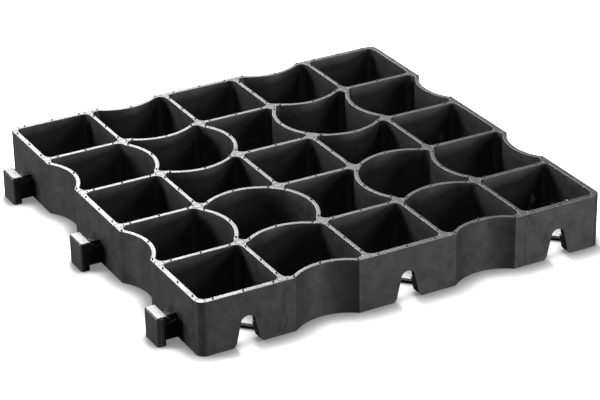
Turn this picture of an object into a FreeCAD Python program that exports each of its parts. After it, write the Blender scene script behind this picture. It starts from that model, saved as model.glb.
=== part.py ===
import FreeCAD, Part
import math
import os

# Grass paver grid: one plastic moulding of five by five open cells, in millimetres.
# The origin is the middle of the underside. X runs along the slotted front edge,
# Y points to the tabbed back edge, and Z is up.

# Grid lines
middle_pitch = 63.2        # middle cell, wall centre to wall centre
bowed_pitch = 66.8         # cells with bowed walls, wall centre to wall centre
edge_pitch = 66.6          # edge cells, wall centre to outer face
grid_height = 42.0
corner_radius = 6.5        # upright outer corners

# Walls, measured at the top; cell faces lean so that walls thicken downwards
inner_wall = 3.2
edge_wall = 4.2
bowed_edge_wall = 3.2
draft_angle = 1.5          # degrees

# Bowed walls, which all bow towards the middle of the grid
bow = 9.0                  # inner walls, height of the bow at its middle
bow_start = 6.6            # crossing centre to the start of the bow
edge_bow = 9.2             # outer face, height of the bow at its middle
edge_bow_start = 8.2       # wall centre line to the start of the outer bow

# Rounded cell corners
square_corner = 5.5        # where two straight walls meet
bowed_corner = 6.0         # where a bowed wall starts
joint_inset = 0.2          # flat between two outward bows, inside the line of their ends

# Low diagonal rib on the floor of each square cell
rib_width = 3.6
rib_height = 2.6

# Grip pips on the wall tops, three on each wall
pip_width = 1.1
pip_height = 1.0
pip_pitch = 23.1           # along a straight wall
bowed_pip_pitch = 25.4     # along a bowed wall's line
pip_inset = 2.1            # edge walls' pips sit this far in from the middle of their cell

# T-shaped connector tabs, standing on the ground
head_length = 21.0         # along the edge
head_depth = 8.2           # at the top
head_height = 22.6
body_depth = 7.0           # below the hook
outer_edge_radius = 2.4    # upright edges of the head
inner_edge_radius = 1.5
top_chamfer = 0.9          # around the head's top, apart from the hook's side
neck_length = 10.5         # outer face of the grid to the head's top
neck_width = 6.2
neck_drop = 3.2            # top of the head down to the neck

# Hook along each head's inner side, which snaps over the neighbour's pad
hook_reach = 3.2           # past the edge of the head's top
hook_drop = 3.8            # sloping lead-in, top of the head down to the nose
nose_height = 1.0
undercut = 1.7             # underside falls this much from the nose to the body

# Connector slots, open at the bottom
connector_inset = 4.2      # corner connectors sit this far in from the middle of their cell
neck_clearance = 2.5       # each side of the neck, at the top of the slot
neck_room = 3.4            # slot top above the neck
slot_flare = 13.0          # degrees, each side
mouth_chamfer = 2.6

# Pad that thickens the wall around each slot
pad_depth = 7.8            # outer face of the grid to the pad's inner face
pad_margin = 5.0           # beyond the slot's mouth, each side
pad_height = 13.6

past = 1.0                 # cutting tools reach this far past the faces that they cut
seat = 2.0                 # added pieces reach this far into the wall that carries them

half_side = middle_pitch / 2 + bowed_pitch + edge_pitch
lines = [
    -half_side,
    -middle_pitch / 2 - bowed_pitch,
    -middle_pitch / 2,
    middle_pitch / 2,
    middle_pitch / 2 + bowed_pitch,
    half_side,
]
cells = len(lines) - 1
connector_shift = (lines[4] + half_side) / 2 - connector_inset
connector_places = [-connector_shift, 0.0, connector_shift]


def point(x, y, z=0.0):
    return FreeCAD.Vector(x, y, z)


def line_edge(start, end):
    return Part.LineSegment(start, end).toShape()


def arc_edge(start, middle, end):
    return Part.Arc(start, middle, end).toShape()


def bow_radius(half_chord, rise):
    return (half_chord ** 2 + rise ** 2) / (2 * rise)


def lean(z):
    """How far a cell's faces have leaned into the cell at this height."""
    return (grid_height - z) * math.tan(math.radians(draft_angle))


class Side:
    """One side of a cell, with distances measured from its wall line into the cell."""

    def __init__(self, index, bowed, bows_in):
        on_edge = index in (0, cells)
        self.wall = edge_wall if on_edge else inner_wall / 2
        self.bowed = bowed
        self.bows_in = bows_in
        if on_edge:
            self.rise = edge_bow
            self.radius = bow_radius(bowed_pitch / 2 - edge_bow_start, edge_bow)
            self.face = bowed_edge_wall
        else:
            self.rise = bow
            self.radius = bow_radius(bowed_pitch / 2 - bow_start, bow)
            self.face = inner_wall / 2
        if bows_in:
            self.centre = self.rise - self.radius
            self.reach = self.radius + self.face
        else:
            self.centre = self.radius - self.rise
            self.reach = self.radius - self.face

    def setback(self, z):
        return self.wall + lean(z)

    def half_chord(self):
        """Half width of the bowed face, where it meets the straight faces beside it."""
        return math.sqrt(self.reach ** 2 - (self.wall - self.centre) ** 2)


def cell_sides(i, j):
    """The sides of a cell in order: front, right, back and left."""
    middle = cells / 2
    front = Side(j, i % 2 == 1, j < middle)
    right = Side(i + 1, j % 2 == 1, i + 1 > middle)
    back = Side(j + 1, i % 2 == 1, j + 1 > middle)
    left = Side(i, j % 2 == 1, i < middle)
    return front, right, back, left


def cell_box(i, j, z):
    """Left, front, right and back bounds of a cell's straight faces at one height."""
    front, right, back, left = cell_sides(i, j)
    x0 = lines[i] + left.setback(z)
    y0 = lines[j] + front.setback(z)
    x1 = lines[i + 1] - right.setback(z)
    y1 = lines[j + 1] - back.setback(z)
    return x0, y0, x1, y1


def tapered_box(low, high):
    """Solid with flat leaning faces between two rectangles, through the grid's whole height."""
    bottom = -past
    top = grid_height + past
    solid = Part.makeWedge(
        low[0], bottom, -low[3], -high[3], high[0],
        low[2], top, -low[1], -high[1], high[2],
    )
    solid.rotate(point(0, 0), point(1, 0), 90)
    return solid


def bow_cylinder(i, j, n, side):
    """Cylinder through the bowed face of one side of a cell, leaning as the straight faces do.

    It is turned so that its seam lies in a corner of the cell, clear of the bow."""
    mid_x = (lines[i] + lines[i + 1]) / 2
    mid_y = (lines[j] + lines[j + 1]) / 2
    wall_middle, inward = [
        (point(mid_x, lines[j]), point(0, 1)),
        (point(lines[i + 1], mid_y), point(-1, 0)),
        (point(mid_x, lines[j + 1]), point(0, -1)),
        (point(lines[i], mid_y), point(1, 0)),
    ][n]
    slope = math.tan(math.radians(draft_angle))
    below = -past - side.reach * slope
    foot = wall_middle + inward * (side.centre + lean(below)) + point(0, 0, below)
    axis = point(0, 0, 1) - inward * slope
    length = (grid_height - 2 * below) * axis.Length
    cylinder = Part.makeCylinder(side.reach, length, foot, axis)
    cylinder.rotate(foot, axis, 45)
    return cylinder


def bow_joint(i, j, n, side):
    """Tool that keeps the corner after one side filled, so that two outward bows run into each other."""
    middle = point((lines[i] + lines[i + 1]) / 2, (lines[j] + lines[j + 1]) / 2)
    corner = [point(1, -1), point(1, 1), point(-1, 1), point(-1, -1)][n]
    corner.normalize()
    across = point(-corner.y, corner.x) * bowed_pitch

    def place(z, further):
        run = bowed_pitch / 2 - side.setback(z) + side.half_chord()
        out = run * math.sqrt(0.5) - joint_inset + further
        return middle + corner * out - across * 0.5 + point(0, 0, z)

    bottom = -past
    top = grid_height + past
    section = [place(bottom, 0), place(top, 0), place(top, bow_start), place(bottom, bow_start)]
    return prism(section, across)


def beyond(box, n, out):
    """The rectangle outside one side of a box, reaching out by this much and a little way in."""
    x0, y0, x1, y1 = box
    return [
        (x0, y0 - out, x1, y0 + past),
        (x1 - past, y0, x1 + out, y1),
        (x0, y1 - past, x1, y1 + out),
        (x0 - out, y0, x0 + past, y1),
    ][n]


def cell_opening(i, j):
    """Tapered tool that opens one cell from top to bottom."""
    sides = cell_sides(i, j)
    low = cell_box(i, j, -past)
    high = cell_box(i, j, grid_height + past)
    opening = tapered_box(low, high)
    upright = [edge for edge in opening.Edges if edge.BoundBox.ZLength > grid_height]
    bowed = any(side.bowed for side in sides)
    opening = opening.makeFillet(bowed_corner if bowed else square_corner, upright)
    for n, side in enumerate(sides):
        if not side.bowed:
            continue
        cylinder = bow_cylinder(i, j, n, side)
        if side.bows_in:
            opening = opening.cut(cylinder)
        else:
            outside = tapered_box(beyond(low, n, 2 * side.rise), beyond(high, n, 2 * side.rise))
            opening = opening.fuse(outside.common(cylinder))
    for n, side in enumerate(sides):
        following = sides[(n + 1) % 4]
        if side.bowed and following.bowed and not (side.bows_in or following.bows_in):
            opening = opening.cut(bow_joint(i, j, n, side))
    return opening.removeSplitter()


def block_outline():
    """Outer outline: four like edges with two bows each, joined by round corners."""
    half_chord = bowed_pitch / 2 - edge_bow_start
    bow_middle = (lines[3] + lines[4]) / 2
    inset = corner_radius * (1 - math.sqrt(0.5))
    edges = []
    for quarter in range(4):
        turn = FreeCAD.Rotation(point(0, 0, 1), 90.0 * quarter)

        def place(x, depth=0.0):
            return turn.multVec(point(x, depth - half_side))

        at = place(corner_radius - half_side)
        for centre in (-bow_middle, bow_middle):
            bow_in = place(centre - half_chord)
            bow_out = place(centre + half_chord)
            edges.append(line_edge(at, bow_in))
            edges.append(arc_edge(bow_in, place(centre, edge_bow), bow_out))
            at = bow_out
        end = place(half_side - corner_radius)
        edges.append(line_edge(at, end))
        edges.append(arc_edge(end, place(half_side - inset, inset), place(half_side, corner_radius)))
    return Part.Wire(edges)


def prism(points, travel):
    corners = points + points[:1]
    return Part.Face(Part.makePolygon(corners)).extrude(travel)


def floor_rib(i, j):
    """Low rib from a square cell's right front corner to its left back corner."""
    x0, y0, x1, y1 = cell_box(i, j, 0.0)
    start = point(x1, y0)
    end = point(x0, y1)
    along = (end - start).normalize()
    across = point(-along.y, along.x) * (rib_width / 2)
    foot = [start - across, start + across, end + across, end - across]
    return prism(foot, point(0, 0, rib_height))


def slot_outline():
    """Half widths and heights of a slot: mouth, throat, spring of the arch and crown."""
    slope = math.tan(math.radians(slot_flare))
    arch = neck_width / 2 + neck_clearance
    crown = head_height - neck_drop + neck_room
    spring = crown - arch
    throat = arch + (spring - mouth_chamfer) * slope
    return throat + mouth_chamfer, throat, arch, spring, crown


def front_slot(x):
    """Tool for one slot in the front edge, reaching through the wall and its pad."""
    mouth, throat, arch, spring, crown = slot_outline()
    y = -half_side - past

    def place(side, z):
        return point(x + side, y, z)

    edges = [
        line_edge(place(-mouth - past, -past), place(mouth + past, -past)),
        line_edge(place(mouth + past, -past), place(throat, mouth_chamfer)),
        line_edge(place(throat, mouth_chamfer), place(arch, spring)),
        arc_edge(place(arch, spring), place(0, crown), place(-arch, spring)),
        line_edge(place(-arch, spring), place(-throat, mouth_chamfer)),
        line_edge(place(-throat, mouth_chamfer), place(-mouth - past, -past)),
    ]
    return Part.Face(Part.Wire(edges)).extrude(point(0, pad_depth + 2 * past, 0))


def front_pad(x):
    """Pad behind one slot of the front edge."""
    half = slot_outline()[0] + pad_margin
    depth = pad_depth - edge_wall + seat
    corner = point(x - half, pad_depth - depth - half_side, 0)
    return Part.makeBox(2 * half, depth, pad_height, corner)


def tab_head(y):
    """Head of a left tab: a rounded bar with a hook along its inner side."""
    edge = -half_side - neck_length
    outer = edge - head_depth
    body = outer + body_depth
    nose = edge + hook_reach
    nose_top = head_height - hook_drop
    nose_foot = nose_top - nose_height
    front = y - head_length / 2
    head = prism([
        point(outer, front, 0),
        point(body, front, 0),
        point(body, front, nose_foot - undercut),
        point(nose, front, nose_foot),
        point(nose, front, nose_top),
        point(edge, front, head_height),
        point(outer, front, head_height),
    ], point(0, head_length, 0))

    upright = [e for e in head.Edges if e.BoundBox.XLength < past and e.BoundBox.YLength < past]
    head = head.makeFillet(outer_edge_radius, [e for e in upright if e.BoundBox.XMax < outer + past])
    upright = [e for e in head.Edges if abs(e.BoundBox.Center.x - body) < past and e.BoundBox.YLength < past]
    head = head.makeFillet(inner_edge_radius, upright)
    rim = [e for e in head.Edges if e.BoundBox.ZMin > head_height - past and e.BoundBox.XMin < edge - past]
    return head.makeChamfer(top_chamfer, rim)


def left_tab(y):
    """T-shaped tab on the left edge: a head on an upright neck."""
    start = -half_side - neck_length - head_depth + body_depth / 2
    run = seat - half_side - start
    neck = Part.makeBox(run, neck_width, head_height - neck_drop, point(start, y - neck_width / 2, 0))
    return tab_head(y).fuse(neck)


def wall_centre(index, bowed, along):
    """Distance from a wall line to the middle of its wall top, towards the middle of the grid."""
    side = Side(index, bowed, True)
    on_edge = index in (0, cells)
    if not bowed:
        return edge_wall / 2 if on_edge else 0.0
    radius = side.radius + (bowed_edge_wall / 2 if on_edge else 0.0)
    return side.centre + math.sqrt(radius ** 2 - along ** 2)


def grip_pip(x, y):
    """One pip, rooted in the wall below it."""
    corner = point(x - pip_width / 2, y - pip_width / 2, grid_height - past)
    return Part.makeBox(pip_width, pip_width, past + pip_height, corner)


def wall_pips():
    """Pips of all walls along X, and the same turned onto the walls along Y."""
    row = []
    for index, line in enumerate(lines):
        inward = 1 if index < cells / 2 else -1
        for segment in range(cells):
            middle = (lines[segment] + lines[segment + 1]) / 2
            if segment == 0:
                middle += pip_inset
            if segment == cells - 1:
                middle -= pip_inset
            bowed = segment % 2 == 1
            pitch = bowed_pip_pitch if bowed else pip_pitch
            for along in (-pitch, 0.0, pitch):
                offset = wall_centre(index, bowed, along)
                row.append(grip_pip(middle + along, line + inward * offset))
    return row + [turned(pip, 90) for pip in row]


def turned(shape, degrees):
    copy = shape.copy()
    copy.rotate(point(0, 0), point(0, 0, 1), degrees)
    return copy


block = Part.Face(block_outline()).extrude(point(0, 0, grid_height))
openings = [cell_opening(i, j) for i in range(cells) for j in range(cells)]
grid = block.cut(openings)

ribs = [floor_rib(i, j) for i in range(0, cells, 2) for j in range(0, cells, 2)]
pads = [front_pad(x) for x in connector_places]
pads += [turned(pad, 90) for pad in pads]
tabs = [left_tab(y) for y in connector_places]
tabs += [turned(tab, -90) for tab in tabs]
slots = [front_slot(x) for x in connector_places]
slots += [turned(slot, 90) for slot in slots]

grid = grid.fuse(ribs + pads + tabs + wall_pips())
grid = grid.cut(slots)
paver_grid = grid.removeSplitter().Solids[0]

os.makedirs("parts", exist_ok=True)
paver_grid.exportStep("parts/paver_grid.step")
print("solids", len(grid.Solids), "valid", paver_grid.isValid(), "volume", round(paver_grid.Volume))
print("box", paver_grid.BoundBox)
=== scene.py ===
import math

import bpy
from mathutils import Matrix, Vector


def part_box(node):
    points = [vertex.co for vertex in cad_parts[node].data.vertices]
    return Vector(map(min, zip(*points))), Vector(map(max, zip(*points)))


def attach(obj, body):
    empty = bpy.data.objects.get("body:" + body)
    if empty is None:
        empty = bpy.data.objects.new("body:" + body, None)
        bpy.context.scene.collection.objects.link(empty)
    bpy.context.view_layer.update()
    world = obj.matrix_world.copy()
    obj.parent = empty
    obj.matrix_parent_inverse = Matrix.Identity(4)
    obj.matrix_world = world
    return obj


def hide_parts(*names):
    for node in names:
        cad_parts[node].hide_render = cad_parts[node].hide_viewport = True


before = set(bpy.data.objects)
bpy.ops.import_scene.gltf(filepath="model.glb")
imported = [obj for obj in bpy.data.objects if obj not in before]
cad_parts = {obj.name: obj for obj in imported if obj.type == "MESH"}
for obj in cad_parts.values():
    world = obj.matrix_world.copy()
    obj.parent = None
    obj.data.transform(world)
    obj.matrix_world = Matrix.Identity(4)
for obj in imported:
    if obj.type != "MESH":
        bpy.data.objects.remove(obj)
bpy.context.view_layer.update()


# The grid moulding
# One injection moulding in black recycled polyethylene, with frame, cell walls, floor ribs, tabs and slots
# in one shot. Its form is the CAD solid's, and its edges get the small rounding that a worn mould gives.
MM = 0.001
edge_rounding = 0.4 * MM
edge_angle = math.radians(28)
pip_height = 1.0 * MM
merge_gap = 0.001 * MM
flat_angle = math.radians(0.5)
pip_foot_sides = 8
cad_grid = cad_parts["paver_grid"]
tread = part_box("paver_grid")[1].z - pip_height


def only(*pieces):
    """Selects these pieces and nothing else, the first as the active one."""
    bpy.ops.object.select_all(action="DESELECT")
    for piece in pieces:
        piece.select_set(True)
    bpy.context.view_layer.objects.active = pieces[0]


def pick(piece, wanted):
    """Selects the vertices of a piece that a test on their place accepts, then opens edit mode."""
    only(piece)
    bpy.ops.object.mode_set(mode="EDIT")
    bpy.ops.mesh.select_mode(type="VERT")
    bpy.ops.mesh.select_all(action="DESELECT")
    bpy.ops.object.mode_set(mode="OBJECT")
    for vertex in piece.data.vertices:
        vertex.select = wanted(vertex.co)
    bpy.ops.object.mode_set(mode="EDIT")


only(cad_grid)
bpy.ops.object.duplicate()
grid = bpy.context.view_layer.objects.active
grid.name = "grid_moulding"
bpy.ops.mesh.customdata_custom_splitnormals_clear()

# The CAD solid's plain pips come off here, and rounder ones follow in the next section.
pick(grid, lambda place: True)
bpy.ops.mesh.remove_doubles(threshold=merge_gap)
bpy.ops.object.mode_set(mode="OBJECT")
pick(grid, lambda place: place.z > tread + pip_height / 2)
bpy.ops.mesh.delete(type="VERT")
bpy.ops.mesh.select_all(action="SELECT")
bpy.ops.mesh.fill_holes(sides=pip_foot_sides)
bpy.ops.mesh.select_all(action="SELECT")
bpy.ops.mesh.dissolve_limited(angle_limit=flat_angle)
bpy.ops.object.mode_set(mode="OBJECT")

rounding = grid.modifiers.new("edge_rounding", "BEVEL")
rounding.width = edge_rounding
rounding.segments = 2
rounding.limit_method = "ANGLE"
rounding.angle_limit = edge_angle
rounding.use_clamp_overlap = False
only(grid)
bpy.ops.object.modifier_apply(modifier="edge_rounding")


# The grip pips
# Small studs of the same shot on the wall tops, three on each wall, which keep feet and wheels from slipping.
# One is turned and rounded over, then set at the place of every plain pip of the CAD solid.
pip_radius = 0.76 * MM
pip_root = 0.5 * MM
pip_taper = 0.85
pip_rounding = 0.3 * MM
pip_sides = 12
pip_spread = 4 * pip_radius
smooth_angle = math.radians(34)

# Top corners of the CAD solid's pips, sorted by the pip that they belong to.
corners_of_pips = []
for vertex in cad_grid.data.vertices:
    if vertex.co.z < tread + pip_height / 2:
        continue
    spot = (round(vertex.co.x, 6), round(vertex.co.y, 6))
    for corners in corners_of_pips:
        if math.dist(corners[0], spot) < pip_spread:
            if spot not in corners:
                corners.append(spot)
            break
    else:
        corners_of_pips.append([spot])
pip_places = []
for corners in corners_of_pips:
    x = sum(corner[0] for corner in corners) / len(corners)
    y = sum(corner[1] for corner in corners) / len(corners)
    pip_places.append(Vector((x, y, 0)))

bpy.ops.object.select_all(action="DESELECT")
bpy.ops.mesh.primitive_cylinder_add(
    vertices=pip_sides,
    radius=pip_radius,
    depth=pip_root + pip_height,
    location=(0, 0, tread + (pip_height - pip_root) / 2),
)
pip = bpy.context.view_layer.objects.active
bpy.ops.object.transform_apply(location=True, rotation=True, scale=True)
pick(pip, lambda place: place.z > tread + pip_height / 2)
bpy.ops.transform.resize(value=(pip_taper, pip_taper, 1), center_override=(0, 0, tread + pip_height))
bpy.ops.mesh.bevel(offset=pip_rounding, segments=2, affect="EDGES")
bpy.ops.object.mode_set(mode="OBJECT")

pips = []
for place in pip_places:
    only(pip)
    bpy.ops.object.duplicate()
    pips.append(bpy.context.view_layer.objects.active)
    bpy.ops.transform.translate(value=place)
only(pip)
bpy.ops.object.delete()
only(grid, *pips)
bpy.ops.object.join()
bpy.ops.object.transform_apply(location=True, rotation=True, scale=True)
bpy.ops.object.shade_smooth_by_angle(angle=smooth_angle)
flats = grid.modifiers.new("flat_faces", "WEIGHTED_NORMAL")
flats.keep_sharp = True
bpy.ops.object.modifier_apply(modifier="flat_faces")


def linear(colour):
    """A colour written as sRGB hex, as the linear values that a shader takes."""
    parts = [int(colour[n:n + 2], 16) / 255 for n in (1, 3, 5)]
    return [p / 12.92 if p <= 0.04045 else ((p + 0.055) / 1.055) ** 2.4 for p in parts] + [1.0]


def add_node(tree, kind, settings, links):
    """Adds a node, sets its properties and sockets, and links sockets to the outputs of other nodes."""
    node = tree.nodes.new(kind)
    for name, value in settings.items():
        if isinstance(name, str) and hasattr(node, name):
            setattr(node, name, value)
        else:
            node.inputs[name].default_value = value
    for socket, (source, output) in links.items():
        tree.links.new(source.outputs[output], node.inputs[socket])
    return node


# Recycled polyethylene, moulded against satin steel: near black, a soft sheen at low angles, faint flow
# clouds, a fine grain and upright drag marks. The outer faces have weld lines where the melt met, and the
# wall tops have rub marks and the round marks of the pins that push the moulding out.
plastic_dark = "#1c1c1d"
plastic_light = "#2a2a2b"
plastic_ior = 1.5
smooth_plastic = 0.34
rough_plastic = 0.46

cloud_size = 11 * MM
cloud_range = (0.25, 0.75)     # the part of the noise that goes from the dark colour to the light one
drag_width = 1.6 * MM
drag_length = 45 * MM
drag_share = 0.15              # of the drag marks in the roughness, the rest is the clouds'
mark_range = (0.3, 0.7)        # the part of that mix that goes from smooth to rough

grain_size = 0.9 * MM
grain_relief = 0.027 * MM
rub_size = 1.1 * MM
rub_relief = 0.108 * MM
top_range = (0.75, 0.97)       # upward part of a normal, where a face begins to be a top and where it is one

pip_foot = 0.1 * MM
rib_level = 4 * MM
pip_and_rib_dullness = 0.3

middle_cell = 63.2 * MM
bowed_cell = 66.8 * MM
half_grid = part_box("paver_grid")[1].x
edge_pin_inset = 3.4 * MM
pin_lines = (middle_cell / 2, middle_cell / 2 + bowed_cell, half_grid - edge_pin_inset)
pin_radius = 3.5 * MM
pin_groove = 0.55 * MM
pin_depth = 0.144 * MM
pin_dullness = 0.2

weld_place = 100 * MM
weld_wander = 16 * MM
weld_bends = 15 * MM
weld_width = 0.6 * MM
weld_depth = 0.036 * MM
weld_darkness = 0.9
weld_gloss = 0.1
face_margin = 0.5 * MM
outer_face = half_grid - face_margin

plastic = bpy.data.materials.new("recycled_polyethylene")
plastic.use_nodes = True
tree = plastic.node_tree
tree.nodes.clear()
coords = add_node(tree, "ShaderNodeTexCoord", {}, {})
clouds = add_node(tree, "ShaderNodeTexNoise", {
    "Scale": 1 / cloud_size, "Detail": 5.0, "Roughness": 0.7, "Distortion": 0.6,
}, {"Vector": (coords, "Object")})
grain = add_node(tree, "ShaderNodeTexNoise", {
    "Scale": 1 / grain_size, "Detail": 2.0, "Roughness": 0.6,
}, {"Vector": (coords, "Object")})
rubs = add_node(tree, "ShaderNodeTexNoise", {
    "Scale": 1 / rub_size, "Detail": 3.0, "Roughness": 0.65,
}, {"Vector": (coords, "Object")})
upright = add_node(tree, "ShaderNodeVectorMath", {
    "operation": "MULTIPLY", 1: (1 / drag_width, 1 / drag_width, 1 / drag_length),
}, {0: (coords, "Object")})
drags = add_node(tree, "ShaderNodeTexNoise", {"Scale": 1.0, "Detail": 2.0}, {"Vector": (upright, 0)})

facing = add_node(tree, "ShaderNodeSeparateXYZ", {}, {"Vector": (coords, "Normal")})
on_top = add_node(tree, "ShaderNodeMapRange", {
    "From Min": top_range[0], "From Max": top_range[1],
}, {"Value": (facing, "Z")})

# Pips and floor ribs get painted shade: a darker colour than the wall tops. They are also duller.
where = add_node(tree, "ShaderNodeSeparateXYZ", {}, {"Vector": (coords, "Object")})
on_pip = add_node(tree, "ShaderNodeMath", {
    "operation": "GREATER_THAN", 1: tread + pip_foot,
}, {0: (where, "Z")})
low_down = add_node(tree, "ShaderNodeMath", {"operation": "LESS_THAN", 1: rib_level}, {0: (where, "Z")})
on_rib = add_node(tree, "ShaderNodeMath", {"operation": "MULTIPLY"}, {0: (low_down, 0), 1: (on_top, 0)})
pip_and_rib_painted_shade = add_node(tree, "ShaderNodeMath", {"operation": "MAXIMUM"}, {0: (on_pip, 0), 1: (on_rib, 0)})

# Pin marks are rings around the crossings of wall lines, drawn from the distance to the nearest crossing.
folded = add_node(tree, "ShaderNodeVectorMath", {"operation": "ABSOLUTE"}, {0: (coords, "Object")})
nearest = None
for line in pin_lines:
    away = add_node(tree, "ShaderNodeVectorMath", {
        "operation": "SUBTRACT", 1: (line, line, 0),
    }, {0: (folded, 0)})
    away = add_node(tree, "ShaderNodeVectorMath", {"operation": "ABSOLUTE"}, {0: (away, 0)})
    if nearest:
        away = add_node(tree, "ShaderNodeVectorMath", {"operation": "MINIMUM"}, {
            0: (nearest, 0), 1: (away, 0),
        })
    nearest = away
flat = add_node(tree, "ShaderNodeVectorMath", {"operation": "MULTIPLY", 1: (1, 1, 0)}, {0: (nearest, 0)})
reach = add_node(tree, "ShaderNodeVectorMath", {"operation": "LENGTH"}, {0: (flat, 0)})
off_ring = add_node(tree, "ShaderNodeMath", {
    "operation": "SUBTRACT", 1: pin_radius,
}, {0: (reach, "Value")})
off_ring = add_node(tree, "ShaderNodeMath", {"operation": "ABSOLUTE"}, {0: (off_ring, 0)})
ring = add_node(tree, "ShaderNodeMapRange", {
    "interpolation_type": "SMOOTHSTEP",
    "From Min": 0.0, "From Max": pin_groove, "To Min": 1.0, "To Max": 0.0,
}, {"Value": (off_ring, 0)})
ring_on_top = add_node(tree, "ShaderNodeMath", {"operation": "MULTIPLY"}, {0: (ring, 0), 1: (on_top, 0)})

# Weld lines run down the outer faces beside the bows, at a distance from the middle that wanders.
turned = add_node(tree, "ShaderNodeVectorRotate", {
    "rotation_type": "Z_AXIS", "Angle": math.radians(90),
}, {"Vector": (coords, "Normal")})
along = add_node(tree, "ShaderNodeVectorMath", {"operation": "DOT_PRODUCT"}, {
    0: (turned, 0), 1: (coords, "Object"),
})
along = add_node(tree, "ShaderNodeMath", {"operation": "ABSOLUTE"}, {0: (along, "Value")})
bends = add_node(tree, "ShaderNodeTexNoise", {
    "Scale": 1 / weld_bends, "Detail": 2.0, "Roughness": 0.4,
}, {"Vector": (coords, "Object")})
bent = add_node(tree, "ShaderNodeMapRange", {
    "To Min": weld_place - weld_wander / 2, "To Max": weld_place + weld_wander / 2,
}, {"Value": (bends, "Fac")})
off_weld = add_node(tree, "ShaderNodeMath", {"operation": "SUBTRACT"}, {0: (along, 0), 1: (bent, 0)})
off_weld = add_node(tree, "ShaderNodeMath", {"operation": "ABSOLUTE"}, {0: (off_weld, 0)})
weld = add_node(tree, "ShaderNodeMapRange", {
    "interpolation_type": "SMOOTHSTEP",
    "From Min": 0.0, "From Max": weld_width, "To Min": 1.0, "To Max": 0.0,
}, {"Value": (off_weld, 0)})
outward = add_node(tree, "ShaderNodeVectorMath", {"operation": "DOT_PRODUCT"}, {
    0: (coords, "Normal"), 1: (coords, "Object"),
})
outside = add_node(tree, "ShaderNodeMath", {
    "operation": "GREATER_THAN", 1: outer_face,
}, {0: (outward, "Value")})
weld = add_node(tree, "ShaderNodeMath", {"operation": "MULTIPLY"}, {0: (weld, 0), 1: (outside, 0)})

# Colour: clouded, dark in weld lines, and darker on pips and floor ribs as painted shade.
mottle = add_node(tree, "ShaderNodeMapRange", {
    "From Min": cloud_range[0], "From Max": cloud_range[1],
}, {"Value": (clouds, "Fac")})
# Painted shade: pips and floor ribs are mixed towards the dark colour, and weld lines are darkened too.
weld_and_painted_shade = add_node(tree, "ShaderNodeMath", {
    "operation": "MULTIPLY_ADD", 1: weld_darkness,
}, {0: (weld, 0), 2: (pip_and_rib_painted_shade, 0)})
tint = add_node(tree, "ShaderNodeMath", {"operation": "SUBTRACT", "use_clamp": True}, {
    0: (mottle, 0), 1: (weld_and_painted_shade, 0),
})
colour = add_node(tree, "ShaderNodeMix", {
    "data_type": "RGBA", 6: linear(plastic_dark), 7: linear(plastic_light),
}, {0: (tint, 0)})

# Roughness: clouded and dragged, glossier in weld lines, duller in pin marks and on pips and floor ribs.
marks = add_node(tree, "ShaderNodeMix", {"data_type": "FLOAT", 0: drag_share}, {
    2: (clouds, "Fac"), 3: (drags, "Fac"),
})
rough = add_node(tree, "ShaderNodeMapRange", {
    "From Min": mark_range[0], "From Max": mark_range[1],
    "To Min": smooth_plastic, "To Max": rough_plastic,
}, {"Value": (marks, 0)})
for mask, change in ((weld, -weld_gloss), (ring_on_top, pin_dullness), (pip_and_rib_painted_shade, pip_and_rib_dullness)):
    rough = add_node(tree, "ShaderNodeMath", {
        "operation": "MULTIPLY_ADD", 1: change,
    }, {0: (mask, 0), 2: (rough, 0)})

# Relief: heights are in metres, so the bump's distance is 1.
rubbed = add_node(tree, "ShaderNodeMath", {"operation": "MULTIPLY"}, {0: (rubs, "Fac"), 1: (on_top, 0)})
height = add_node(tree, "ShaderNodeMath", {"operation": "MULTIPLY", 1: rub_relief}, {0: (rubbed, 0)})
for mask, change in ((grain, grain_relief), (ring_on_top, -pin_depth), (weld, -weld_depth)):
    height = add_node(tree, "ShaderNodeMath", {
        "operation": "MULTIPLY_ADD", 1: change,
    }, {0: (mask, 0), 2: (height, 0)})
bump = add_node(tree, "ShaderNodeBump", {"Strength": 1.0, "Distance": 1.0}, {"Height": (height, 0)})
surface = add_node(tree, "ShaderNodeBsdfPrincipled", {"IOR": plastic_ior}, {
    "Base Color": (colour, 2), "Roughness": (rough, 0), "Normal": (bump, 0),
})
add_node(tree, "ShaderNodeOutputMaterial", {}, {"Surface": (surface, 0)})

grid.data.materials.clear()
grid.data.materials.append(plastic)
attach(grid, "root")
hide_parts("paver_grid")


# The studio floor
# A plain white sheet under the grid. It is no part of the object. The eye sees it white with the grid's soft
# shadow from the lamps. A painted shadow from ambient occlusion also darkens its colour close to the plastic.
# Its bounce is held low, because the cells are dark inside.
floor_size = 8.0
floor_paint = "#f8f8f8"
painted_shadow_colour = "#000000"
floor_bounce = "#303030"
floor_gloss = 0.03             # share of the white sheet that the plastic mirrors
glow_colour = "#ffffff"
floor_glow = 0.2
shadow_reach = 16 * MM
shadow_depth = 3.0
bpy.ops.object.select_all(action="DESELECT")
bpy.ops.mesh.primitive_plane_add(size=floor_size, location=(0, 0, 0))
floor = bpy.context.view_layer.objects.active
floor.name = "studio_floor"
sheet = bpy.data.materials.new("white_studio_paper")
sheet.use_nodes = True
tree = sheet.node_tree
tree.nodes.clear()
path = add_node(tree, "ShaderNodeLightPath", {}, {})
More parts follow.
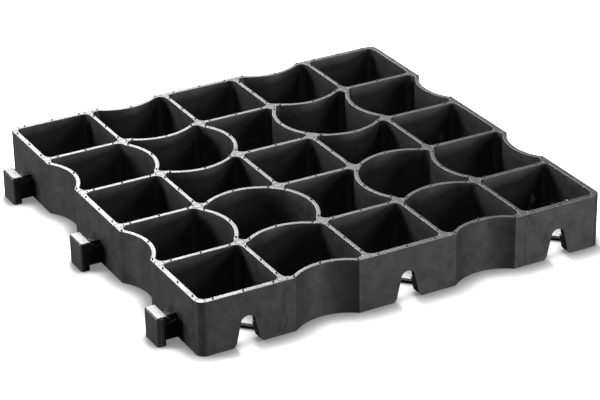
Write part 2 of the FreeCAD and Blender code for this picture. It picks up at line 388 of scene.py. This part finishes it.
# Painted shadow: ambient occlusion mixes the paper's colour towards black close to the grid.
close_by = add_node(tree, "ShaderNodeAmbientOcclusion", {"Distance": shadow_reach, "samples": 16}, {})
painted_shadow_strength = add_node(tree, "ShaderNodeMath", {"operation": "POWER", 1: shadow_depth}, {0: (close_by, "AO")})
paper_with_painted_shadow = add_node(tree, "ShaderNodeMix", {
    "data_type": "RGBA", 6: linear(painted_shadow_colour), 7: linear(floor_paint),
}, {0: (painted_shadow_strength, 0)})
paper = add_node(tree, "ShaderNodeBsdfDiffuse", {}, {"Color": (paper_with_painted_shadow, 2)})
glow = add_node(tree, "ShaderNodeEmission", {"Color": linear(glow_colour), "Strength": floor_glow}, {})
white = add_node(tree, "ShaderNodeAddShader", {}, {0: (paper, 0), 1: (glow, 0)})
dull = add_node(tree, "ShaderNodeBsdfDiffuse", {"Color": linear(floor_bounce)}, {})
clear = add_node(tree, "ShaderNodeMath", {"operation": "MAXIMUM"}, {
    0: (path, "Is Camera Ray"), 1: (path, "Is Transmission Ray"),
})
seen = add_node(tree, "ShaderNodeMath", {
    "operation": "MULTIPLY_ADD", 1: floor_gloss, "use_clamp": True,
}, {0: (path, "Is Glossy Ray"), 2: (clear, 0)})
mixed = add_node(tree, "ShaderNodeMixShader", {}, {0: (seen, 0), 1: (dull, 0), 2: (white, 0)})
add_node(tree, "ShaderNodeOutputMaterial", {}, {"Surface": (mixed, 0)})
floor.data.materials.append(sheet)


# The studio lights
# A tall softbox behind the grid shines along the wall tops. Two in front on the right and two on the left
# light the upright walls, one above keeps the paper white, and a white room fills in a little.
room_colour = "#ffffff"
room_level = 0.05
room_gloss = 0.12              # share of the white room that the plastic mirrors
lamp_distance = 1.6
softboxes = (
    # name, compass bearing from +Y and height in degrees, width and height in metres, brightness
    ("back_softbox", 13.5, 43.5, 0.44, 0.90, 38.0),
    ("top_softbox", 0, 90, 0.80, 0.80, 8.0),
    ("front_low_softbox", 153, 5, 0.34, 0.26, 94.0),
    ("front_softbox", 152, 21, 0.40, 0.36, 18.0),
    ("left_low_softbox", 275, 5, 0.40, 0.26, 52.0),
    ("left_softbox", 296, 23, 0.45, 0.36, 53.0),
)
for name, bearing, rise, wide, high, brightness in softboxes:
    lamp = bpy.data.objects.new(name, bpy.data.lights.new(name, "AREA"))
    bpy.context.scene.collection.objects.link(lamp)
    lamp.data.shape = "RECTANGLE"
    lamp.data.size = wide
    lamp.data.size_y = high
    lamp.data.energy = brightness * math.pi * wide * high
    around = math.radians(bearing)
    above = math.radians(rise)
    towards = Vector((
        math.sin(around) * math.cos(above), math.cos(around) * math.cos(above), math.sin(above),
    ))
    turn = towards.to_track_quat("Z", "Y").to_matrix().to_4x4()
    lamp.matrix_world = Matrix.Translation(towards * lamp_distance) @ turn

world = bpy.data.worlds.new("white_room")
bpy.context.scene.world = world
world.use_nodes = True
tree = world.node_tree
tree.nodes.clear()
path = add_node(tree, "ShaderNodeLightPath", {}, {})
clear = add_node(tree, "ShaderNodeMath", {"operation": "MAXIMUM"}, {
    0: (path, "Is Camera Ray"), 1: (path, "Is Transmission Ray"),
})
seen = add_node(tree, "ShaderNodeMath", {
    "operation": "MULTIPLY_ADD", 1: room_gloss, "use_clamp": True,
}, {0: (path, "Is Glossy Ray"), 2: (clear, 0)})
level = add_node(tree, "ShaderNodeMapRange", {"To Min": room_level, "To Max": 1.0}, {"Value": (seen, 0)})
room = add_node(tree, "ShaderNodeBackground", {"Color": linear(room_colour)}, {"Strength": (level, 0)})
add_node(tree, "ShaderNodeOutputWorld", {}, {"Surface": (room, 0)})


# The camera
# It stands where the photograph was taken from: low, in front of the left corner, with a long lens.
# It looks at a point half way up the grid's middle, and is then slid and rolled a little.
azimuth = math.radians(-28.379)
elevation = math.radians(26.323)
roll = math.radians(-0.995)
distance = 1775.796 * MM
slide_right = 3.213 * MM
slide_up = -11.371 * MM
aim = Vector((0, 0, 21 * MM))
film_width = 36
focal_length = 140.01

level_right = Vector((math.cos(azimuth), math.sin(azimuth), 0))
level_up = Vector((
    -math.sin(azimuth) * math.sin(elevation), math.cos(azimuth) * math.sin(elevation), math.cos(elevation),
))
back = Vector((
    math.sin(azimuth) * math.cos(elevation), -math.cos(azimuth) * math.cos(elevation), math.sin(elevation),
))
right = level_right * math.cos(roll) + level_up * math.sin(roll)
up = level_up * math.cos(roll) - level_right * math.sin(roll)
stand = aim + right * slide_right + up * slide_up + back * distance
camera = bpy.data.objects.new("camera", bpy.data.cameras.new("camera"))
bpy.context.scene.collection.objects.link(camera)
camera.matrix_world = Matrix((
    (right.x, up.x, back.x, stand.x),
    (right.y, up.y, back.y, stand.y),
    (right.z, up.z, back.z, stand.z),
    (0, 0, 0, 1),
))
camera.data.sensor_fit = "HORIZONTAL"
camera.data.sensor_width = film_width
camera.data.lens = focal_length
bpy.context.scene.camera = camera
bpy.context.scene.view_settings.view_transform = "Standard"
